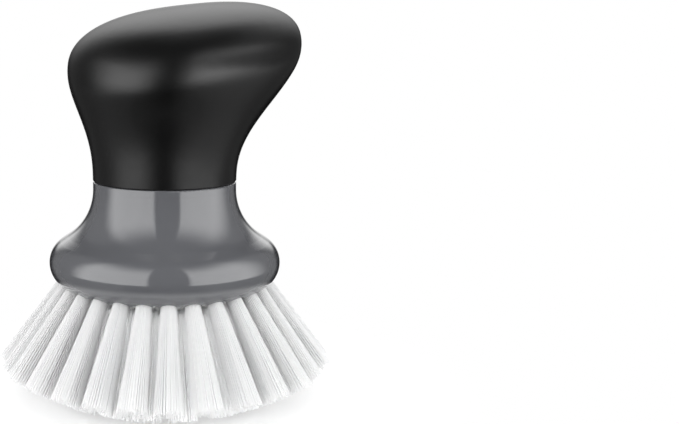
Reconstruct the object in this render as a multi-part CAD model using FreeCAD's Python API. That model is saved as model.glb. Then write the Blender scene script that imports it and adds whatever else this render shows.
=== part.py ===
import FreeCAD, Part
import math
import os

from FreeCAD import Vector

# Palm brush: a soft knob over a two-part core, plugged into a moulded head that carries rings of nylon tufts.
# Frame: millimetres, +Z up, origin on the floor under the middle of the tufts.
# +X points towards the beak of the knob, and the front of the brush faces -Y.

# Brush head, a turned form from the seam under the knob down to the domed tuft face
NECK_RADIUS = 17.6
NECK_STRAIGHT = 1.9
WAIST_CURVE_RADIUS = 14.0
SLOPE_LENGTH = 2.4
RIM_CURVE_RADIUS = 6.2
RIM_RADIUS = 28.5
DOME_DROP = 11.5
BRISTLE_REACH = 21.0
SEAM_EDGE_RADIUS = 0.35

# Socket in the head and the spigot that snaps into it
NECK_WALL = 2.6
BLOCK_THICKNESS = 13.0
SPIGOT_LENGTH = 14.0
SPIGOT_WALL = 2.2
SPIGOT_CLEARANCE = 0.1
BEAD_DROP = 9.0
BEAD_HEIGHT = 0.6
BEAD_WIDTH = 2.4
BEAD_CLEARANCE = 0.1

# Knob: egg-shaped sections that swell from the neck to a tilted widest section, then close in a dome
GRIP_WIDEST_HEIGHT = 28.9
GRIP_HALF_LENGTH = 28.3
GRIP_DEEPEST_HEIGHT = 23.9
GRIP_HALF_DEPTH = 22.6
GRIP_SHOULDER_RADIUS = 10.0
GRIP_DOME_HEIGHT = 12.85
BEAK_OFFSET = 4.75
GRIP_TILT = 6.2
BEAK_TAPER = 0.40
TAPER_POWER = 3
GRIP_FLARE = 1.29
DEPTH_FLARE = 2.0
DOME_SQUARENESS = 2.5
DOME_SHIFT = 1.5
GRIP_SKIN = 2.2
CORE_WALL = 2.4
SECTION_POINTS = 32
SWELL_STEPS = 10
DOME_ANGLES = (6, 14, 26, 39, 52, 64, 74, 82, 87)

# Posts and locating pins that line up the two halves of the core
HEEL_POST_OFFSET = -13.0
HEEL_POST_HEIGHT = 25.0
BEAK_POST_OFFSET = 20.0
BEAK_POST_HEIGHT = 31.0
POST_RADIUS = 3.4
PIN_RADIUS = 1.5
PIN_LENGTH = 4.0
PIN_CLEARANCE = 0.1

# Tufts in rings on the dome, leaning out in step with their distance from the axis
RING_EDGE = 3.7
INNER_RING_RADIUS = 3.0
TUFT_PITCH = 5.4
RING_PHASES = (2.0, 9.3, 5.0, 0.0, 30.0)
OUTER_LEAN = 33.6
EDGE_RISE = 6.2
RAISED_ROWS = 2
HOLE_RADIUS = 1.95
HOLE_DEPTH = 6.5
TUFT_CLEARANCE = 0.05
TUFT_FLARE = 0.06
STRANDS = 10
STRAND_ROUNDNESS = 0.8
ROW_NAMES = ("outer", "second", "third", "fourth", "fifth")
SEPARATE_ROWS = 2

# Flat metal anchors that span their holes from wall to wall and pin the folded filaments there
ANCHOR_THICKNESS = 0.35
ANCHOR_HEIGHT = 1.6
ANCHOR_SEAT = 0.8

# Heights and radii that follow from the driving sizes
CURVES = WAIST_CURVE_RADIUS + RIM_CURVE_RADIUS
SLOPE_ANGLE = (math.acos((CURVES - RIM_RADIUS + NECK_RADIUS) / math.hypot(CURVES, SLOPE_LENGTH))
               - math.atan2(SLOPE_LENGTH, CURVES))
NECK_DROP = CURVES * math.sin(SLOPE_ANGLE) + SLOPE_LENGTH * math.cos(SLOPE_ANGLE)
RIM_Z = BRISTLE_REACH + DOME_DROP
RIM_CENTRE_RADIUS = RIM_RADIUS - RIM_CURVE_RADIUS
DOME_RADIUS = ((RIM_CENTRE_RADIUS ** 2 + DOME_DROP ** 2 - RIM_CURVE_RADIUS ** 2)
               / (2 * (DOME_DROP - RIM_CURVE_RADIUS)))
DOME_ANGLE = math.asin(RIM_CENTRE_RADIUS / (DOME_RADIUS - RIM_CURVE_RADIUS))
DOME_CENTRE_Z = BRISTLE_REACH + DOME_RADIUS
SEAM_Z = RIM_Z + NECK_DROP + NECK_STRAIGHT
SOCKET_RADIUS = NECK_RADIUS - NECK_WALL
SOCKET_FLOOR_Z = BRISTLE_REACH + BLOCK_THICKNESS
SPIGOT_RADIUS = SOCKET_RADIUS - SPIGOT_CLEARANCE
TUFT_RADIUS = HOLE_RADIUS - TUFT_CLEARANCE
OUTER_RING_RADIUS = RIM_RADIUS - RING_EDGE
PLENTY = 4 * RIM_RADIUS

UP = Vector(0, 0, 1)
AXIS_START = Vector(0, 0, 0)


def at(radius, height):
    """A point of a turned outline, in the XZ plane."""
    return Vector(radius, 0, height)


def turned(edges):
    """A solid turned about the Z axis from a closed outline of edges."""
    return Part.Face(Part.Wire(edges)).revolve(AXIS_START, UP, 360)


def line(start, end):
    return Part.LineSegment(start, end).toShape()


def closed_outline(corners):
    """Straight edges from corner to corner and back to the first one."""
    return [line(start, end) for start, end in zip(corners, corners[1:] + corners[:1])]


def arc(centre, radius, start_angle, end_angle):
    """An arc in the XZ plane about centre, with angles from +X towards +Z, in radians."""
    middle_angle = (start_angle + end_angle) / 2
    points = [centre + radius * Vector(math.cos(a), 0, math.sin(a))
              for a in (start_angle, middle_angle, end_angle)]
    return Part.Arc(*points).toShape()


def dome_height_at(radius):
    """Height of the tuft face at a distance from the axis."""
    return DOME_CENTRE_Z - math.sqrt(DOME_RADIUS ** 2 - radius ** 2)


# Brush head

def head_outline():
    """Half section of the head: dome, rim, waist and neck, closed along the axis."""
    rim_centre = at(RIM_CENTRE_RADIUS, RIM_Z)
    waist_centre = at(NECK_RADIUS + WAIST_CURVE_RADIUS, SEAM_Z - NECK_STRAIGHT)
    edge_centre = at(NECK_RADIUS - SEAM_EDGE_RADIUS, SEAM_Z - SEAM_EDGE_RADIUS)
    dome = arc(at(0, DOME_CENTRE_Z), DOME_RADIUS, -math.pi / 2, DOME_ANGLE - math.pi / 2)
    rim = arc(rim_centre, RIM_CURVE_RADIUS, DOME_ANGLE - math.pi / 2, SLOPE_ANGLE)
    waist = arc(waist_centre, WAIST_CURVE_RADIUS, math.pi + SLOPE_ANGLE, math.pi)
    edge = arc(edge_centre, SEAM_EDGE_RADIUS, 0, math.pi / 2)
    slope = line(rim.Vertexes[-1].Point, waist.Vertexes[0].Point)
    neck = line(waist.Vertexes[-1].Point, edge.Vertexes[0].Point)
    top = line(edge.Vertexes[-1].Point, at(0, SEAM_Z))
    axis = line(at(0, SEAM_Z), at(0, RIM_Z - DOME_DROP))
    return [dome, rim, slope, waist, neck, edge, top, axis]


def bead_ring(core_radius, height, half_width):
    """A ring of triangular section standing height proud of a cylinder, at the level of the snap bead."""
    level = SEAM_Z - BEAD_DROP
    buried = core_radius - BEAD_HEIGHT
    corners = [at(buried, level - half_width), at(core_radius, level - half_width),
               at(core_radius + height, level), at(core_radius, level + half_width),
               at(buried, level + half_width)]
    return turned(closed_outline(corners))


def brush_head(places):
    body = turned(head_outline())
    socket = Part.makeCylinder(SOCKET_RADIUS, PLENTY, at(0, SOCKET_FLOOR_Z))
    groove = bead_ring(SOCKET_RADIUS, BEAD_HEIGHT, BEAD_WIDTH / 2 + BEAD_CLEARANCE)
    return body.cut([socket, groove] + [hole_cutter(place) for place in places])


# Knob

def smooth_step(share):
    """Rises smoothly from 0 to 1 as the share does."""
    return share * share * (3 - 2 * share)


def egg_wire(rise, tilt, middle, half_length, half_depth, taper, lift=0.0):
    """A closed egg in a plane tilted about Y at a height above the seam, moved square to that plane by lift.

    Its taper says how much the egg narrows towards the beak, at +X.
    """
    lean = math.radians(tilt)
    points = []
    for step in range(SECTION_POINTS):
        turn = 2 * math.pi * step / SECTION_POINTS
        along = middle + half_length * math.cos(turn)
        towards_beak = (1 + math.cos(turn)) / 2
        across = half_depth * math.sin(turn) * (1 - taper * towards_beak ** TAPER_POWER)
        points.append(Vector(along * math.cos(lean) - lift * math.sin(lean),
                             across,
                             SEAM_Z + rise + along * math.sin(lean) + lift * math.cos(lean)))
    curve = Part.BSplineCurve()
    curve.interpolate(Points=points, PeriodicFlag=True)
    return Part.Wire(curve.toShape())


def half_depth_at(rise, inset):
    """Half the knob's depth at a height above the seam: a swell, a round shoulder, then a flatter cap."""
    if rise <= GRIP_DEEPEST_HEIGHT:
        swell = smooth_step((rise / GRIP_DEEPEST_HEIGHT) ** DEPTH_FLARE)
        return NECK_RADIUS - inset + (GRIP_HALF_DEPTH - NECK_RADIUS) * swell
    climb = rise - GRIP_DEEPEST_HEIGHT
    top = GRIP_WIDEST_HEIGHT + GRIP_DOME_HEIGHT - GRIP_DEEPEST_HEIGHT - inset
    shoulder_depth = GRIP_HALF_DEPTH - GRIP_SHOULDER_RADIUS
    shoulder_radius = GRIP_SHOULDER_RADIUS - inset
    cap_radius = (shoulder_depth ** 2 + top ** 2 - shoulder_radius ** 2) / (2 * (top - shoulder_radius))
    cap_start = math.atan2(cap_radius - top, shoulder_depth)
    if climb < shoulder_radius * math.sin(cap_start):
        return shoulder_depth + math.sqrt(shoulder_radius ** 2 - climb ** 2)
    return math.sqrt(cap_radius ** 2 - (cap_radius - top + climb) ** 2)


def knob_form(inset):
    """The knob's outer form, drawn in by inset all round, as one solid that stands on the seam."""
    wires = []
    for step in range(SWELL_STEPS + 1):
        share = step / SWELL_STEPS
        rise = GRIP_WIDEST_HEIGHT * share
        swell = smooth_step(share ** GRIP_FLARE)
        wires.append(egg_wire(
            rise,
            GRIP_TILT * share,
            BEAK_OFFSET * swell,
            NECK_RADIUS + (GRIP_HALF_LENGTH - NECK_RADIUS) * swell - inset,
            half_depth_at(rise, inset),
            BEAK_TAPER * swell))
    for degrees in DOME_ANGLES:
        angle = math.radians(degrees)
        shrink = math.cos(angle) ** (2 / DOME_SQUARENESS)
        climb = math.sin(angle) ** (2 / DOME_SQUARENESS)
        lift = (GRIP_DOME_HEIGHT - inset) * climb
        wires.append(egg_wire(
            GRIP_WIDEST_HEIGHT,
            GRIP_TILT,
            BEAK_OFFSET + DOME_SHIFT * climb,
            (GRIP_HALF_LENGTH - inset) * shrink,
            half_depth_at(GRIP_WIDEST_HEIGHT + lift, inset),
            BEAK_TAPER * (1 - climb),
            lift))
    return Part.makeLoft(wires, True, False)


def foot_bevel_cutter():
    """Takes the sharp corner off the foot of the knob's skin, to match the edge of the neck below it."""
    corners = [at(NECK_RADIUS - 2 * SEAM_EDGE_RADIUS, SEAM_Z - SEAM_EDGE_RADIUS),
               at(NECK_RADIUS + SEAM_EDGE_RADIUS, SEAM_Z - SEAM_EDGE_RADIUS),
               at(NECK_RADIUS + SEAM_EDGE_RADIUS, SEAM_Z + 2 * SEAM_EDGE_RADIUS)]
    return turned(closed_outline(corners))


def palm_grip():
    return knob_form(0).cut([knob_form(GRIP_SKIN), foot_bevel_cutter()])


def post_rod(offset, height, radius, start_y, end_y):
    """A round rod along Y at a place of the XZ plane given from the seam."""
    start = Vector(offset, start_y, SEAM_Z + height)
    return Part.makeCylinder(radius, end_y - start_y, start, Vector(0, 1, 0))


def core_halves():
    """Front and back half shells of the rigid core, with the spigot, the snap bead and the locating posts."""
    outside = knob_form(GRIP_SKIN)
    spigot_foot = at(0, SEAM_Z - SPIGOT_LENGTH)
    spigot = Part.makeCylinder(SPIGOT_RADIUS, SPIGOT_LENGTH, spigot_foot)
    bead = bead_ring(SPIGOT_RADIUS, BEAD_HEIGHT, BEAD_WIDTH / 2)
    cavity = knob_form(GRIP_SKIN + CORE_WALL)
    bore = Part.makeCylinder(SPIGOT_RADIUS - SPIGOT_WALL, SPIGOT_LENGTH, spigot_foot)
    shell = outside.fuse([spigot, bead]).cut([cavity, bore])
    posts = ((HEEL_POST_OFFSET, HEEL_POST_HEIGHT), (BEAK_POST_OFFSET, BEAK_POST_HEIGHT))
    shell = shell.fuse([post_rod(x, z, POST_RADIUS, -PLENTY, PLENTY).common(cavity) for x, z in posts])
    back_space = Part.makeBox(2 * PLENTY, PLENTY, 2 * PLENTY, Vector(-PLENTY, 0, 0))
    front = shell.cut(back_space)
    back = shell.common(back_space)
    pins = [post_rod(x, z, PIN_RADIUS, -PIN_LENGTH, PIN_LENGTH) for x, z in posts]
    sockets = [post_rod(x, z, PIN_RADIUS + PIN_CLEARANCE, 0, PIN_LENGTH + PIN_CLEARANCE) for x, z in posts]
    return front.fuse(pins), back.cut(sockets)


# Tufts and anchors

class TuftPlace:
    """Where one tuft leaves the dome, how it leans, and how long it is outside its hole."""

    def __init__(self, ring, radius, degrees):
        share = radius / OUTER_RING_RADIUS
        lean = OUTER_LEAN * share
        exit_z = dome_height_at(radius)
        tip_z = EDGE_RISE * max(0, 1 - ring / RAISED_ROWS) ** 2
        around = math.radians(degrees)
        exit_point = Vector(radius * math.sin(around), -radius * math.cos(around), exit_z)
        turn = FreeCAD.Rotation(UP, degrees - 90)
        tip_over = FreeCAD.Rotation(Vector(0, 1, 0), -lean)
        self.ring = ring
        self.length = (exit_z - tip_z) / math.cos(math.radians(lean))
        self.trimmed_flat = ring >= RAISED_ROWS
        self.placement = FreeCAD.Placement(exit_point, turn.multiply(tip_over))


def put(shape, place):
    """Moves a shape made about its own upright axis, with the dome at height 0, to a tuft's place."""
    shape.Placement = place.placement
    return shape


def hole_cutter(place):
    past_dome = HOLE_RADIUS
    return put(Part.makeCylinder(HOLE_RADIUS, HOLE_DEPTH + past_dome, at(0, -past_dome)), place)


def anchor(place):
    width = 2 * math.sqrt(HOLE_RADIUS ** 2 - (ANCHOR_THICKNESS / 2) ** 2)
    corner = Vector(-width / 2, -ANCHOR_THICKNESS / 2, HOLE_DEPTH - ANCHOR_SEAT - ANCHOR_HEIGHT)
    return put(Part.makeBox(width, ANCHOR_THICKNESS, ANCHOR_HEIGHT, corner), place)


def strand_wire(radius, height):
    """A closed level outline of round strands side by side. At a roundness of 1 each is a half circle."""
    half_step = math.pi / STRANDS
    groove_radius = radius / (math.cos(half_step) + STRAND_ROUNDNESS * math.sin(half_step))
    arcs = []
    for number in range(STRANDS):
        middle = 2 * half_step * number
        corners = ((groove_radius, middle - half_step), (radius, middle), (groove_radius, middle + half_step))
        points = [Vector(r * math.cos(turn), r * math.sin(turn), height) for r, turn in corners]
        arcs.append(Part.Arc(*points).toShape())
    return Part.Wire(arcs)


def tuft(place):
    """A bundle of filaments: a round root in its hole and a free length of strands that flare to the tip."""
    spare = 2 * HOLE_RADIUS if place.trimmed_flat else 0
    free = place.length + spare
    neck = strand_wire(TUFT_RADIUS - TUFT_CLEARANCE, 0)
    tip = strand_wire(TUFT_RADIUS + TUFT_FLARE * free, -free)
    fan = Part.makeLoft([neck, tip], True, True)
    bundle = put(Part.makeCylinder(TUFT_RADIUS, HOLE_DEPTH).fuse(fan), place)
    if place.trimmed_flat:
        below_floor = Part.makeBox(2 * PLENTY, 2 * PLENTY, PLENTY, Vector(-PLENTY, -PLENTY, -PLENTY))
        bundle = bundle.cut(below_floor)
    return bundle.cut(anchor(place))


def ring_radii():
    """Distances of the tuft rings from the axis, evenly spaced from the outer one inwards."""
    pitch = (OUTER_RING_RADIUS - INNER_RING_RADIUS) / (len(ROW_NAMES) - 1)
    return [OUTER_RING_RADIUS - pitch * ring for ring in range(len(ROW_NAMES))]


def tufts_in_ring(radius):
    return int(2 * math.pi * radius / TUFT_PITCH)


def tuft_places():
    places = []
    for ring, radius in enumerate(ring_radii()):
        count = tufts_in_ring(radius)
        for number in range(count):
            places.append(TuftPlace(ring, radius, RING_PHASES[ring] + 360 * number / count))
    return places


def save(name, shapes):
    """Writes one node as a STEP file, with one solid for each piece in it."""
    solids = [solid for shape in shapes for solid in shape.Solids]
    node = solids[0] if len(solids) == 1 else Part.makeCompound(solids)
    node.exportStep(os.path.join("parts", name + ".step"))
    volume = sum(solid.Volume for solid in solids)
    valid = all(solid.isValid() for solid in solids)
    print(f"{name}: {len(solids)} solid(s), {volume:.1f} mm3, valid {valid}")


def main():
    os.makedirs("parts", exist_ok=True)
    places = tuft_places()
    front, back = core_halves()
    save("palm_grip", [palm_grip()])
    save("grip_core_front", [front])
    save("grip_core_back", [back])
    save("brush_head", [brush_head(places)])
    save("tuft_anchors", [anchor(place) for place in places])
    for ring in range(len(ring_radii())):
        tufts = [tuft(place) for place in places if place.ring == ring]
        if ring < SEPARATE_ROWS:
            for number, bundle in enumerate(tufts, start=1):
                save(f"{ROW_NAMES[ring]}_tuft_{number:02d}", [bundle])
        else:
            save(f"{ROW_NAMES[ring]}_row_tufts", tufts)


main()
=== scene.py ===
import math

import bpy
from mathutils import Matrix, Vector


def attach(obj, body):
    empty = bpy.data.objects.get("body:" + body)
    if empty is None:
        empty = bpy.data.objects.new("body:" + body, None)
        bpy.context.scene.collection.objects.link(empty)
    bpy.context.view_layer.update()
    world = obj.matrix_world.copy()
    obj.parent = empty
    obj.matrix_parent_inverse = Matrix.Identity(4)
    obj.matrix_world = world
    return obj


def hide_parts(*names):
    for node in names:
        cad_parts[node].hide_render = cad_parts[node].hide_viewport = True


# Palm brush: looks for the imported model. Metres, +Z up, origin on the floor under the tufts, front faces -Y.
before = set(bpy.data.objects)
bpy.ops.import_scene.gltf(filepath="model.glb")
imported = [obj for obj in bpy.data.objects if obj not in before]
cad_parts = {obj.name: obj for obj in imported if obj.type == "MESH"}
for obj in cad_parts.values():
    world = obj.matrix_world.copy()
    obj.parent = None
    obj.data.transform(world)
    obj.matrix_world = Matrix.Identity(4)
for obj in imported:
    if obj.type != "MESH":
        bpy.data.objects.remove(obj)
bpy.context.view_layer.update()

MM = 0.001
FULL_TURN = 2 * math.pi

# Tuft face and rings of tufts, the head's own sizes
SEAM_Z = 52.49 * MM
DOME_LOW_Z = 21.0 * MM
DOME_RADIUS = 55.79 * MM
RINGS = (
    # name, tufts, ring radius in mm, first angle in degrees, tip height in mm, ends trimmed level
    ("outer", 28, 24.80, 2.0, 6.20, False),
    ("second", 22, 19.35, 9.3, 1.75, False),
    ("third", 16, 13.90, 5.0, 0.12, True),
    ("fourth", 9, 8.45, 0.0, 0.12, True),
    ("fifth", 3, 3.00, 30.0, 0.12, True),
)
SINGLE_TUFT_RINGS = ("outer", "second")
OUTER_RING_RADIUS = 24.8 * MM
OUTER_LEAN = math.radians(33.6)

# Filaments of a tuft: an even round of outer ones, with the rest packed inside it
FILAMENTS = 92
OUTER_FILAMENTS = 32
INNER_SHARE = 0.84
FILAMENT_RADIUS = 0.14 * MM
END_GROWTH = 0.85
FILAMENT_SIDES = 6
FILAMENT_POINTS = 5
ROOT_DEPTH = 4.0 * MM
ROOT_SPREAD = 1.73 * MM
FLARE = 0.062
UNEVEN_ENDS = 0.03
STRAY = 0.07 * MM
BOW = 0.03 * MM
TUFT_WANDER = 0.028
GOLDEN_ANGLE = math.pi * (3 - math.sqrt(5))

# Seeds: one for each ring, and what each random draw adds to it
RING_SEED_STEP = 100
SWING_DRAW = 1.0
TURN_DRAW = 2.0
LENGTH_DRAW = 3.0
STRAY_ACROSS_DRAW = 4.0
STRAY_SIDE_DRAW = 5.0
BOW_DRAW = 6.0
STRAND_DRAW = 7.0

# Finishes: shades from dark to pale, ranges of roughness, sizes of patches and grain, depth and strength of bumps
NOISE_MIDDLE = (0.3, 0.7)
PLAIN_DETAIL = 2.0
FINE_DETAIL = 3.0

SKIN_SHADES = ((0.0013, 0.0013, 0.0014), (0.0019, 0.0019, 0.0021))
SKIN_ROUGHNESS = (0.28, 0.32)
SKIN_PATCH = 18 * MM
SKIN_GRAIN = 0.25 * MM
SKIN_BUMP = (0.006 * MM, 0.3)
SKIN_IOR = 1.52

GREY_SHADES = ((0.090, 0.092, 0.100), (0.102, 0.104, 0.112))
GREY_ROUGHNESS = (0.09, 0.13)
GREY_PATCH = 12 * MM
GREY_WAVE = 3 * MM
GREY_BUMP = (0.01 * MM, 0.1)
GREY_IOR = 1.55
COAT_WEIGHT = 1.0
COAT_ROUGHNESS = 0.05
COAT_IOR = 1.5

NYLON_SHADES = ((0.95, 0.952, 0.955), (0.99, 0.99, 0.99))
NYLON_ROUGHNESS = (0.34, 0.46)
NYLON_GRAIN = 1.2 * MM
NYLON_GRAIN_SHARE = 0.3
NYLON_STRAND_SHARE = 0.7
NYLON_MILKINESS = 0.6
NYLON_IOR = 1.5

CORE_SHADES = ((0.10, 0.10, 0.11), (0.14, 0.14, 0.15))
CORE_ROUGHNESS = (0.45, 0.6)
CORE_PATCH = 8 * MM
CORE_GRAIN = 0.4 * MM
CORE_BUMP = (0.02 * MM, 0.4)

ANCHOR_SHADES = ((0.62, 0.62, 0.64), (0.75, 0.75, 0.77))
ANCHOR_ROUGHNESS = (0.25, 0.4)
ANCHOR_STREAK = 0.6 * MM
ANCHOR_STRETCH = (1, 1, 12)

# Camera, fitted to the outline of the brush that stands left in the picture
IMAGE_WIDTH = 679
AXIS_PIXEL = 164.6
CAMERA_PLACE = (0.0, -0.250, SEAM_Z + 35.7 * MM)
CAMERA_PITCH = math.radians(9.9)
CAMERA_LENS = 54.45
SENSOR_WIDTH = 36
CLIP_START = 0.01

# Soft boxes: some for the knob alone, some for all but the knob, and one for the inner bristles in the gaps.
# Name, azimuths, fade at its sides, heights, fade at its ends, strength, droop of its top per degree of azimuth.
PANEL_DISTANCE = 1.0
PANEL_STEPS = 24
KNOB_PANELS = (
    ("knob_left_soft_box", (-96.0, -9.0), (39.0, 30.0), (-25.0, 53.5), (40.0, 4.0), 2.7, 0.18),
    ("knob_right_soft_box", (6.0, 110.0), (24.0, 4.0), (-20.0, 65.0), (40.0, 9.0), 3.6, 0.76),
    ("knob_top_soft_box", (56.0, 257.0), (56.0, 49.0), (0.0, 89.0), (72.0, 0.0), 3.0, 0.0),
    ("knob_low_left_soft_box", (-120.0, -5.0), (40.0, 28.0), (-69.0, 0.0), (40.0, 10.0), 0.22, 0.0),
    ("knob_low_right_soft_box", (5.0, 120.0), (28.0, 40.0), (-69.0, 0.0), (40.0, 10.0), 0.43, 0.0),
)
HEAD_PANELS = (
    ("head_left_soft_box", (-105.0, -14.0), (25.0, 3.0), (-11.0, 72.0), (0.0, 42.0), 2.1, 0.0),
    ("head_right_soft_box", (22.0, 120.0), (3.0, 40.0), (-11.0, 72.0), (0.0, 42.0), 2.1, 0.0),
    ("head_back_soft_box", (140.0, 220.0), (20.0, 20.0), (0.0, 50.0), (10.0, 20.0), 1.2, 0.0),
)
GAP_PANEL = ("gap_soft_box", (-75.0, 75.0), (20.0, 20.0), (16.0, 50.0), (8.0, 8.0), 18.0, 0.0)

# White surround, the dim room that reflections show beside it, and the floor
BACKDROP_EDGE = (0.94, 0.99)
SOFT_FILL = 0.7
ROOM_LIGHT = 0.15
ROOM_EDGE = (0.5, 0.65)
FLOOR_RADIUS = 0.08
FLOOR_STEPS = 64
FLOOR_FADE = (0.45 * FLOOR_RADIUS, 0.98 * FLOOR_RADIUS)
FLOOR_SHADE = 0.7
FLOOR_GLOW = 0.4


# Node trees

def put_value(tree, socket, value):
    """Links a socket to another one, or sets its own value."""
    if isinstance(value, bpy.types.NodeSocket):
        tree.links.new(value, socket)
    else:
        socket.default_value = value


def add_node(tree, kind, settings=None, **inputs):
    """Adds a node. Settings are its properties, inputs its sockets by name with underscores for spaces."""
    node = tree.nodes.new(kind)
    for name, value in (settings or {}).items():
        setattr(node, name, value)
    set_inputs(tree, node, **inputs)
    return node


def set_inputs(tree, node, **inputs):
    """Sets a node's sockets by name, with underscores for spaces."""
    for name, value in inputs.items():
        put_value(tree, node.inputs[name.replace("_", " ")], value)


def in_order(tree, kind, operation, values):
    """A sum whose inputs are filled in order."""
    node = tree.nodes.new(kind)
    node.operation = operation
    for socket, value in zip(node.inputs, values):
        put_value(tree, socket, value)
    return node.outputs


def calc(tree, operation, *values):
    """One sum on numbers."""
    return in_order(tree, "ShaderNodeMath", operation, values)[0]


def negative(tree, value):
    """A number with its sign turned."""
    return calc(tree, "MULTIPLY", value, -1.0)


def scaled(tree, direction, amount):
    """A direction made longer or shorter."""
    node = add_node(tree, "ShaderNodeVectorMath", {"operation": "SCALE"}, Scale=amount)
    put_value(tree, node.inputs[0], direction)
    return node.outputs[0]


def added(tree, *parts):
    """The sum of some vectors."""
    total = parts[0]
    for part in parts[1:]:
        total = in_order(tree, "ShaderNodeVectorMath", "ADD", (total, part))[0]
    return total


def xyz(tree, x, y, z):
    """A vector from its three parts."""
    return add_node(tree, "ShaderNodeCombineXYZ", X=x, Y=y, Z=z).outputs[0]


def upwards(tree, height):
    """A vector straight up."""
    return xyz(tree, 0.0, 0.0, height)


def chance(tree, low, high, identity, seed):
    """A random number that stays with its identity."""
    node = tree.nodes.new("FunctionNodeRandomValue")
    node.data_type = "FLOAT"
    by_name = {socket.name: socket for socket in node.inputs if socket.enabled}
    put_value(tree, by_name["Min"], low)
    put_value(tree, by_name["Max"], high)
    put_value(tree, by_name["ID"], identity)
    put_value(tree, by_name["Seed"], seed)
    return next(socket for socket in node.outputs if socket.enabled)


def pick_number(tree, choice, when_false, when_true):
    """One of two numbers."""
    node = add_node(tree, "GeometryNodeSwitch", {"input_type": "FLOAT"})
    put_value(tree, node.inputs["Switch"], choice)
    put_value(tree, node.inputs["False"], when_false)
    put_value(tree, node.inputs["True"], when_true)
    return node.outputs[0]


def smooth_edge(tree, value, edge):
    """Rises smoothly from 0 to 1 as a value passes from one end of an edge to the other."""
    node = add_node(tree, "ShaderNodeMapRange", {"interpolation_type": "SMOOTHSTEP"}, Value=value)
    set_inputs(tree, node, From_Min=edge[0], From_Max=edge[1])
    return node.outputs["Result"]


def empty_tree(owner):
    """The emptied node tree of a material or a world."""
    owner.use_nodes = True
    owner.node_tree.nodes.clear()
    return owner.node_tree


def summed_shaders(tree, first, second):
    """Two shaders added together."""
    node = tree.nodes.new("ShaderNodeAddShader")
    tree.links.new(first, node.inputs[0])
    tree.links.new(second, node.inputs[1])
    return node.outputs[0]


def mixed_shaders(tree, share, first, second):
    """Two shaders mixed, with the given share of the second."""
    node = tree.nodes.new("ShaderNodeMixShader")
    put_value(tree, node.inputs[0], share)
    tree.links.new(first, node.inputs[1])
    tree.links.new(second, node.inputs[2])
    return node.outputs[0]


def send_out(tree, surface, kind="ShaderNodeOutputMaterial"):
    """Ends a tree with its output."""
    tree.links.new(surface, tree.nodes.new(kind).inputs["Surface"])


def add_object(name, data):
    """An object in the scene, at the origin."""
    piece = bpy.data.objects.new(name, data)
    bpy.context.scene.collection.objects.link(piece)
    return piece


# Bristles

BRISTLE_INPUTS = {
    "NodeSocketInt": ("Tufts", "Filaments", "Outer filaments", "Seed"),
    "NodeSocketFloat": (
        "Inner share", "End growth", "Ring radius", "First angle", "Lean", "Face height", "Tip height", "Length",
        "Root depth", "Root spread", "Flare", "Filament radius", "Uneven ends", "Stray", "Bow", "Tuft wander"),
    "NodeSocketBool": ("Trimmed level",),
    "NodeSocketMaterial": ("Material",),
}


def keep(tree, geometry, name, kind, value):
    """Stores a value on each point under a name."""
    node = add_node(tree, "GeometryNodeStoreNamedAttribute", {"data_type": kind}, Geometry=geometry, Name=name)
    put_value(tree, next(socket for socket in node.inputs if socket.name == "Value" and socket.enabled), value)
    return node.outputs["Geometry"]


def kept_vector(tree, name):
    """Reads a vector that was stored under a name."""
    node = add_node(tree, "GeometryNodeInputNamedAttribute", {"data_type": "FLOAT_VECTOR"}, Name=name)
    return node.outputs["Attribute"]


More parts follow.
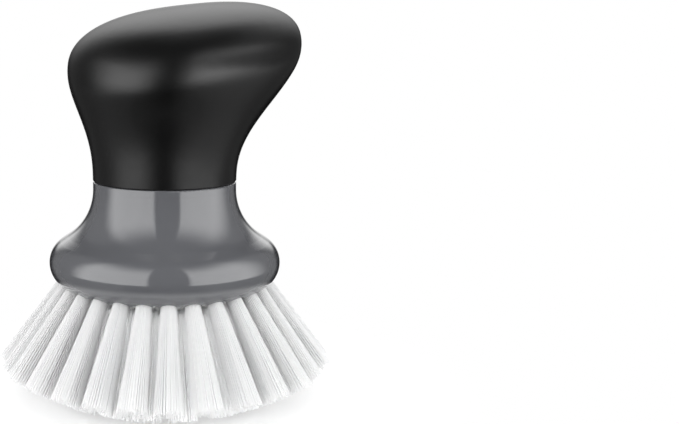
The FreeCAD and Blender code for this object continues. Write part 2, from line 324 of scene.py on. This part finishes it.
def bristle_tree():
    """One ring of tufts: filaments packed like seeds in round holes, which fan out towards their ends."""
    tree = bpy.data.node_groups.new("bristle_ring", "GeometryNodeTree")
    for kind, names in BRISTLE_INPUTS.items():
        for name in names:
            tree.interface.new_socket(name=name, in_out="INPUT", socket_type=kind)
    tree.interface.new_socket(name="Geometry", in_out="OUTPUT", socket_type="NodeSocketGeometry")
    given = tree.nodes.new("NodeGroupInput").outputs
    seed = given["Seed"]

    def draw(low, high, identity, addition):
        return chance(tree, low, high, identity, calc(tree, "ADD", seed, addition))

    # Which tuft a filament belongs to, and its number there
    index = tree.nodes.new("GeometryNodeInputIndex").outputs[0]
    tuft = calc(tree, "FLOOR", calc(tree, "DIVIDE", index, given["Filaments"]))
    number = calc(tree, "SUBTRACT", index, calc(tree, "MULTIPLY", tuft, given["Filaments"]))

    # Directions of the tuft: outwards, along the ring, down its own length, and across it
    turn_step = calc(tree, "DIVIDE", FULL_TURN, given["Tufts"])
    wander = given["Tuft wander"]
    wander_back = negative(tree, wander)
    around = calc(tree, "ADD", given["First angle"], calc(tree, "MULTIPLY", tuft, turn_step))
    lean = calc(tree, "ADD", given["Lean"], chance(tree, wander_back, wander, tuft, seed))
    swing = draw(wander_back, wander, tuft, SWING_DRAW)
    around_sine = calc(tree, "SINE", around)
    around_cosine = calc(tree, "COSINE", around)
    outwards = xyz(tree, around_sine, negative(tree, around_cosine), 0.0)
    sideways = xyz(tree, around_cosine, around_sine, 0.0)
    lean_sine = calc(tree, "SINE", lean)
    lean_cosine = calc(tree, "COSINE", lean)
    straight = added(tree, scaled(tree, outwards, lean_sine), upwards(tree, negative(tree, lean_cosine)))
    down = added(tree, straight, scaled(tree, sideways, swing))
    across = added(tree, scaled(tree, outwards, lean_cosine), upwards(tree, lean_sine))
    mouth = added(tree, scaled(tree, outwards, given["Ring radius"]), upwards(tree, given["Face height"]))

    # Place of the filament in the round of its tuft; inner ones start half a step from the middle
    first_turn = draw(0.0, FULL_TURN, tuft, TURN_DRAW)
    outer = given["Outer filaments"]
    inner_number = calc(tree, "ADD", calc(tree, "SUBTRACT", number, outer), 0.5)
    inner_part = calc(tree, "DIVIDE", inner_number, calc(tree, "SUBTRACT", given["Filaments"], outer))
    inner_share = calc(tree, "MULTIPLY", given["Inner share"], calc(tree, "SQRT", inner_part))
    is_inner = calc(tree, "GREATER_THAN", inner_number, 0.0)
    share = pick_number(tree, is_inner, 1.0, inner_share)
    step = pick_number(tree, is_inner, calc(tree, "DIVIDE", FULL_TURN, outer), GOLDEN_ANGLE)
    turn = calc(tree, "ADD", first_turn, calc(tree, "MULTIPLY", number, step))
    from_middle = added(tree, scaled(tree, across, calc(tree, "COSINE", turn)),
                        scaled(tree, sideways, calc(tree, "SINE", turn)))
    root_offset = calc(tree, "MULTIPLY", share, given["Root spread"])
    flare = calc(tree, "MULTIPLY", share, given["Flare"])

    # Free length: given, or as far as the level that the inner rows are trimmed to
    offset_rise = add_node(tree, "ShaderNodeSeparateXYZ", Vector=from_middle).outputs["Z"]
    drop = calc(tree, "SUBTRACT", given["Face height"], given["Tip height"])
    level_reach = calc(tree, "DIVIDE",
                       calc(tree, "ADD", drop, calc(tree, "MULTIPLY", offset_rise, root_offset)),
                       calc(tree, "SUBTRACT", lean_cosine, calc(tree, "MULTIPLY", offset_rise, flare)))
    reach = pick_number(tree, given["Trimmed level"], given["Length"], level_reach)
    shortfall = draw(0.0, given["Uneven ends"], index, LENGTH_DRAW)
    length = calc(tree, "MULTIPLY", reach, calc(tree, "SUBTRACT", 1.0, shortfall))

    # Each filament keeps what it needs as attributes
    count = calc(tree, "MULTIPLY", given["Tufts"], given["Filaments"])
    points = add_node(tree, "GeometryNodePoints", Count=count).outputs[0]
    stray = given["Stray"]
    stray_back = negative(tree, stray)
    stray_across = scaled(tree, across, draw(stray_back, stray, index, STRAY_ACROSS_DRAW))
    stray_side = scaled(tree, sideways, draw(stray_back, stray, index, STRAY_SIDE_DRAW))
    bow = calc(tree, "MULTIPLY", given["Bow"], draw(-1.0, 1.0, index, BOW_DRAW))
    vectors = {
        "mouth": added(tree, mouth, scaled(tree, from_middle, root_offset)),
        "run": scaled(tree, added(tree, down, scaled(tree, from_middle, flare)), length),
        "hidden": scaled(tree, down, given["Root depth"]),
        "drift": added(tree, stray_across, stray_side),
        "belly": scaled(tree, from_middle, bow),
    }
    for name, value in vectors.items():
        points = keep(tree, points, name, "FLOAT_VECTOR", value)
    points = keep(tree, points, "strand", "FLOAT", draw(0.0, 1.0, index, STRAND_DRAW))

    # One line per filament, laid from the bottom of its hole to its end; its bow is fullest half way out
    stub = add_node(tree, "GeometryNodeCurvePrimitiveLine").outputs[0]
    stub = add_node(tree, "GeometryNodeResampleCurve", Curve=stub, Count=FILAMENT_POINTS).outputs[0]
    lines = add_node(tree, "GeometryNodeInstanceOnPoints", Points=points, Instance=stub).outputs[0]
    lines = add_node(tree, "GeometryNodeRealizeInstances", Geometry=lines).outputs[0]
    along = tree.nodes.new("GeometryNodeSplineParameter").outputs["Factor"]
    in_hole = 1.0 / (FILAMENT_POINTS - 1)
    past_mouth = calc(tree, "DIVIDE", calc(tree, "SUBTRACT", along, in_hole), 1 - in_hole)
    outside = calc(tree, "MAXIMUM", 0.0, past_mouth)
    inside = calc(tree, "MAXIMUM", 0.0, calc(tree, "SUBTRACT", 1.0, calc(tree, "DIVIDE", along, in_hole)))
    to_end = calc(tree, "SUBTRACT", 1.0, outside)
    arch = calc(tree, "MULTIPLY", calc(tree, "MULTIPLY", outside, to_end), 4.0)
    place = added(tree, kept_vector(tree, "mouth"),
                  scaled(tree, kept_vector(tree, "run"), outside),
                  scaled(tree, kept_vector(tree, "hidden"), negative(tree, inside)),
                  scaled(tree, kept_vector(tree, "drift"), outside),
                  scaled(tree, kept_vector(tree, "belly"), arch))
    lines = add_node(tree, "GeometryNodeSetPosition", Geometry=lines, Position=place).outputs[0]
    thickness = calc(tree, "MULTIPLY_ADD", outside, given["End growth"], 1.0)
    lines = add_node(tree, "GeometryNodeSetCurveRadius", Curve=lines, Radius=thickness).outputs[0]

    # Round wire along each line
    round_wire = add_node(tree, "GeometryNodeCurvePrimitiveCircle", Resolution=FILAMENT_SIDES,
                          Radius=given["Filament radius"]).outputs[0]
    mesh = add_node(tree, "GeometryNodeCurveToMesh", Curve=lines, Profile_Curve=round_wire,
                    Fill_Caps=True).outputs[0]
    for name in vectors:
        mesh = add_node(tree, "GeometryNodeRemoveAttribute", Geometry=mesh, Name=name).outputs[0]
    mesh = add_node(tree, "GeometryNodeRealizeInstances", Geometry=mesh).outputs[0]
    mesh = add_node(tree, "GeometryNodeSetMaterial", Geometry=mesh, Material=given["Material"]).outputs[0]
    tree.links.new(mesh, tree.nodes.new("NodeGroupOutput").inputs["Geometry"])
    return tree


def bristle_ring(tree, name, values):
    """Runs the bristle tree with one ring's values and keeps the result as a plain mesh."""
    start = add_object(name + "_start", bpy.data.meshes.new(name + "_start"))
    modifier = start.modifiers.new("bristles", "NODES")
    modifier.node_group = tree
    sockets = {item.name: item.identifier for item in tree.interface.items_tree if item.in_out == "INPUT"}
    for label, value in values.items():
        modifier[sockets[label]] = value
    bpy.context.view_layer.update()
    made = bpy.data.meshes.new_from_object(start.evaluated_get(bpy.context.evaluated_depsgraph_get()))
    start.modifiers.remove(modifier)
    bpy.data.objects.remove(start)
    made.name = name
    return add_object(name, made)


def dome_height(radius):
    """Height of the domed tuft face at a distance from the axis."""
    return DOME_LOW_Z + DOME_RADIUS - math.sqrt(DOME_RADIUS ** 2 - radius ** 2)


def make_bristles(finish):
    """One piece of bristles for each ring, in place of its tuft solids."""
    tree = bristle_tree()
    pieces = []
    for ring, (name, tufts, radius_mm, first, tip_mm, level) in enumerate(RINGS):
        radius = radius_mm * MM
        lean = OUTER_LEAN * radius / OUTER_RING_RADIUS
        face_height = dome_height(radius)
        values = {
            "Tufts": tufts,
            "Filaments": FILAMENTS,
            "Outer filaments": OUTER_FILAMENTS,
            "Inner share": INNER_SHARE,
            "End growth": END_GROWTH,
            "Ring radius": radius,
            "First angle": math.radians(first),
            "Lean": lean,
            "Face height": face_height,
            "Tip height": tip_mm * MM,
            "Length": (face_height - tip_mm * MM) / math.cos(lean),
            "Trimmed level": level,
            "Root depth": ROOT_DEPTH,
            "Root spread": ROOT_SPREAD,
            "Flare": FLARE,
            "Filament radius": FILAMENT_RADIUS,
            "Uneven ends": UNEVEN_ENDS,
            "Stray": STRAY,
            "Bow": BOW,
            "Tuft wander": TUFT_WANDER,
            "Seed": RING_SEED_STEP * (ring + 1),
            "Material": finish,
        }
        piece = bristle_ring(tree, name + "_bristles", values)
        if name in SINGLE_TUFT_RINGS:
            nodes = [f"{name}_tuft_{number:02d}" for number in range(1, tufts + 1)]
        else:
            nodes = [name + "_row_tufts"]
        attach(piece, "root")
        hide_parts(*nodes)
        pieces.append(piece)
    return pieces


# Finishes

def new_finish(name):
    """A material with its shader, and the piece's own coordinates."""
    finish = bpy.data.materials.new(name)
    tree = empty_tree(finish)
    shader = tree.nodes.new("ShaderNodeBsdfPrincipled")
    place = tree.nodes.new("ShaderNodeTexCoord").outputs["Object"]
    return finish, tree, shader, place


def noise(tree, place, size, detail=PLAIN_DETAIL):
    """Noise with features of about the given size in metres."""
    return add_node(tree, "ShaderNodeTexNoise", Vector=place, Scale=1 / size, Detail=detail).outputs["Fac"]


def between(tree, factor, low, high):
    """A number that runs from low to high as the factor runs over the middle of a noise's range."""
    node = add_node(tree, "ShaderNodeMapRange", Value=factor)
    set_inputs(tree, node, From_Min=NOISE_MIDDLE[0], From_Max=NOISE_MIDDLE[1], To_Min=low, To_Max=high)
    return node.outputs["Result"]


def shades(tree, factor, dark, pale):
    """A colour between two shades."""
    ramp = add_node(tree, "ShaderNodeValToRGB", Fac=factor)
    ramp.color_ramp.elements[0].color = (*dark, 1)
    ramp.color_ramp.elements[1].color = (*pale, 1)
    return ramp.outputs["Color"]


def bump(tree, height, depth, strength):
    """Fine relief from a height."""
    node = add_node(tree, "ShaderNodeBump", Height=height, Distance=depth, Strength=strength)
    return node.outputs["Normal"]


def soft_black():
    """Satin soft-touch skin with a very fine grain."""
    finish, tree, shader, place = new_finish("soft_black_skin")
    broad = noise(tree, place, SKIN_PATCH)
    grain = noise(tree, place, SKIN_GRAIN, FINE_DETAIL)
    set_inputs(tree, shader, Base_Color=shades(tree, broad, *SKIN_SHADES),
               Roughness=between(tree, broad, *SKIN_ROUGHNESS), Normal=bump(tree, grain, *SKIN_BUMP),
               IOR=SKIN_IOR)
    send_out(tree, shader.outputs[0])
    return finish


def grey_gloss():
    """Glossy moulded grey with a faint flow of shade and a slight wave in its polish."""
    finish, tree, shader, place = new_finish("grey_gloss_plastic")
    broad = noise(tree, place, GREY_PATCH)
    wave = noise(tree, place, GREY_WAVE)
    set_inputs(tree, shader, Base_Color=shades(tree, broad, *GREY_SHADES),
               Roughness=between(tree, wave, *GREY_ROUGHNESS), Normal=bump(tree, wave, *GREY_BUMP),
               IOR=GREY_IOR, Coat_Weight=COAT_WEIGHT, Coat_Roughness=COAT_ROUGHNESS, Coat_IOR=COAT_IOR)
    send_out(tree, shader.outputs[0])
    return finish


def white_nylon():
    """Milky nylon that lets some light through: each filament has its own shade."""
    finish, tree, shader, place = new_finish("white_nylon_filament")
    strand = add_node(tree, "ShaderNodeAttribute", {"attribute_name": "strand"}).outputs["Fac"]
    fine = noise(tree, place, NYLON_GRAIN)
    strand_part = calc(tree, "MULTIPLY", strand, NYLON_STRAND_SHARE)
    shade = shades(tree, calc(tree, "MULTIPLY_ADD", fine, NYLON_GRAIN_SHARE, strand_part), *NYLON_SHADES)
    set_inputs(tree, shader, Base_Color=shade, Roughness=between(tree, fine, *NYLON_ROUGHNESS), IOR=NYLON_IOR)
    milky = add_node(tree, "ShaderNodeBsdfTranslucent", Color=shade).outputs[0]
    send_out(tree, mixed_shaders(tree, NYLON_MILKINESS, shader.outputs[0], milky))
    return finish


def core_plastic():
    """Plain dark plastic as it leaves the mould."""
    finish, tree, shader, place = new_finish("core_plastic")
    broad = noise(tree, place, CORE_PATCH)
    grain = noise(tree, place, CORE_GRAIN, FINE_DETAIL)
    set_inputs(tree, shader, Base_Color=shades(tree, broad, *CORE_SHADES),
               Roughness=between(tree, grain, *CORE_ROUGHNESS), Normal=bump(tree, grain, *CORE_BUMP))
    send_out(tree, shader.outputs[0])
    return finish


def anchor_metal():
    """Bright rolled strip with fine lines along it."""
    finish, tree, shader, place = new_finish("anchor_strip_metal")
    lines = add_node(tree, "ShaderNodeMapping", Vector=place, Scale=ANCHOR_STRETCH).outputs[0]
    streaks = noise(tree, lines, ANCHOR_STREAK)
    set_inputs(tree, shader, Base_Color=shades(tree, streaks, *ANCHOR_SHADES),
               Roughness=between(tree, streaks, *ANCHOR_ROUGHNESS), Metallic=1.0)
    send_out(tree, shader.outputs[0])
    return finish


def dress(node_name, finish):
    """Gives a CAD node its finish."""
    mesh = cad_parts[node_name].data
    mesh.materials.clear()
    mesh.materials.append(finish)


# Stage

def ease(width, distance):
    """Rises smoothly from 0 to 1 over a width; with no width it is 1 at once."""
    share = min(1.0, max(0.0, distance / width)) if width else 1.0
    return share * share * (3 - 2 * share)


def panel(name, azimuths, sides, heights, ends, strength, droop):
    """A curved soft box round the brush, from one azimuth and height to another, in degrees from the front.

    Its light fades in over the degrees that sides and ends give at those edges.
    Its top droops away from the front.
    """
    middle = Vector((0.0, 0.0, SEAM_Z))
    corners, levels = [], []
    for row in range(PANEL_STEPS + 1):
        for column in range(PANEL_STEPS + 1):
            azimuth = azimuths[0] + (azimuths[1] - azimuths[0]) * column / PANEL_STEPS
            top = heights[1] - droop * abs(azimuth)
            height = heights[0] + (top - heights[0]) * row / PANEL_STEPS
            a, h = math.radians(azimuth), math.radians(height)
            away = Vector((math.sin(a) * math.cos(h), -math.cos(a) * math.cos(h), math.sin(h)))
            corners.append(middle + PANEL_DISTANCE * away)
            level = ease(sides[0], azimuth - azimuths[0]) * ease(sides[1], azimuths[1] - azimuth)
            levels.append(level * ease(ends[0], height - heights[0]) * ease(ends[1], top - height))
    faces = []
    for row in range(PANEL_STEPS):
        for column in range(PANEL_STEPS):
            first = row * (PANEL_STEPS + 1) + column
            faces.append((first, first + 1, first + PANEL_STEPS + 2, first + PANEL_STEPS + 1))
    mesh = bpy.data.meshes.new(name)
    mesh.from_pydata(corners, [], faces)
    mesh.attributes.new("fade", "FLOAT", "POINT").data.foreach_set("value", levels)

    # Clear to light from behind, so that one soft box doesn't shade another
    glow = bpy.data.materials.new(name)
    tree = empty_tree(glow)
    fade = add_node(tree, "ShaderNodeAttribute", {"attribute_name": "fade"}).outputs["Fac"]
    light = add_node(tree, "ShaderNodeEmission", Strength=calc(tree, "MULTIPLY", fade, strength)).outputs[0]
    clear = tree.nodes.new("ShaderNodeBsdfTransparent").outputs[0]
    send_out(tree, summed_shaders(tree, light, clear))
    mesh.materials.append(glow)
    piece = add_object(name, mesh)
    piece.visible_camera = False
    return piece


def aim(box, pieces, state):
    """Lets a soft box light some pieces alone, or all but them."""
    receivers = bpy.data.collections.new(box.name + "_receivers")
    for piece in pieces:
        receivers.objects.link(piece)
    for entry in receivers.collection_objects:
        entry.light_linking.link_state = state
    box.light_linking.receiver_collection = receivers


def mirrored_rays(tree, path):
    """1 for what is seen in a reflection or through something clear."""
    return calc(tree, "MAXIMUM", path["Is Glossy Ray"], path["Is Transmission Ray"])


def make_floor():
    """A pale round floor that fades into the white surround and keeps the soft shadow."""
    corners = [Vector((0, 0, 0))]
    for step in range(FLOOR_STEPS):
        turn = FULL_TURN * step / FLOOR_STEPS
        corners.append(FLOOR_RADIUS * Vector((math.cos(turn), math.sin(turn), 0)))
    faces = [(0, 1 + step, 1 + (step + 1) % FLOOR_STEPS) for step in range(FLOOR_STEPS)]
    mesh = bpy.data.meshes.new("floor")
    mesh.from_pydata(corners, [], faces)
    paint = bpy.data.materials.new("pale_floor")
    tree = empty_tree(paint)
    place = tree.nodes.new("ShaderNodeTexCoord").outputs["Object"]
    distance = in_order(tree, "ShaderNodeVectorMath", "LENGTH", (place,))["Value"]
    edge = smooth_edge(tree, distance, FLOOR_FADE)
    path = tree.nodes.new("ShaderNodeLightPath").outputs
    seen = calc(tree, "MAXIMUM", path["Is Camera Ray"], mirrored_rays(tree, path))
    grey = (FLOOR_SHADE, FLOOR_SHADE, FLOOR_SHADE, 1)
    matte = add_node(tree, "ShaderNodeBsdfDiffuse", Color=grey).outputs[0]
    glow = add_node(tree, "ShaderNodeEmission", Strength=calc(tree, "MULTIPLY", seen, FLOOR_GLOW)).outputs[0]
    clear = tree.nodes.new("ShaderNodeBsdfTransparent").outputs[0]
    send_out(tree, mixed_shaders(tree, edge, summed_shaders(tree, matte, glow), clear))
    mesh.materials.append(paint)
    floor = add_object("floor", mesh)


def make_surround():
    """White all round for the camera.

    Reflections show it where it stands, behind the brush, and a dim room at the sides.
    """
    world = bpy.data.worlds.new("white_surround")
    bpy.context.scene.world = world
    tree = empty_tree(world)
    toward = tree.nodes.new("ShaderNodeTexCoord").outputs["Generated"]
    parts = add_node(tree, "ShaderNodeSeparateXYZ", Vector=toward).outputs
    behind = smooth_edge(tree, parts["Y"], BACKDROP_EDGE)
    beside = smooth_edge(tree, calc(tree, "ABSOLUTE", parts["X"]), ROOM_EDGE)
    path = tree.nodes.new("ShaderNodeLightPath").outputs
    mirrored = calc(tree, "MULTIPLY", mirrored_rays(tree, path), behind)
    white = calc(tree, "MAXIMUM", path["Is Camera Ray"], mirrored)
    room = calc(tree, "MULTIPLY", beside, ROOM_LIGHT)
    fill = calc(tree, "MAXIMUM", calc(tree, "MULTIPLY", path["Is Diffuse Ray"], SOFT_FILL), room)
    strength = calc(tree, "MAXIMUM", white, fill)
    sky = add_node(tree, "ShaderNodeBackground", Color=(1, 1, 1, 1), Strength=strength).outputs[0]
    send_out(tree, sky, "ShaderNodeOutputWorld")


def make_camera():
    """The camera that took the picture, shifted so that the brush stands at its left."""
    lens = bpy.data.cameras.new("camera")
    lens.sensor_width = SENSOR_WIDTH
    lens.lens = CAMERA_LENS
    lens.shift_x = (IMAGE_WIDTH / 2 - AXIS_PIXEL) / IMAGE_WIDTH
    lens.clip_start = CLIP_START
    camera = add_object("camera", lens)
    camera.location = CAMERA_PLACE
    camera.rotation_euler = (math.pi / 2 - CAMERA_PITCH, 0, 0)
    bpy.context.scene.camera = camera


dress("palm_grip", soft_black())
dress("brush_head", grey_gloss())
core = core_plastic()
dress("grip_core_front", core)
dress("grip_core_back", core)
dress("tuft_anchors", anchor_metal())
inner_bristles = make_bristles(white_nylon())[1:]
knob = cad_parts["palm_grip"]
for box in KNOB_PANELS:
    aim(panel(*box), [knob], "INCLUDE")
for box in HEAD_PANELS:
    aim(panel(*box), [knob], "EXCLUDE")
aim(panel(*GAP_PANEL), inner_bristles, "INCLUDE")
make_floor()
make_surround()
make_camera()
bpy.context.scene.view_settings.view_transform = "Standard"
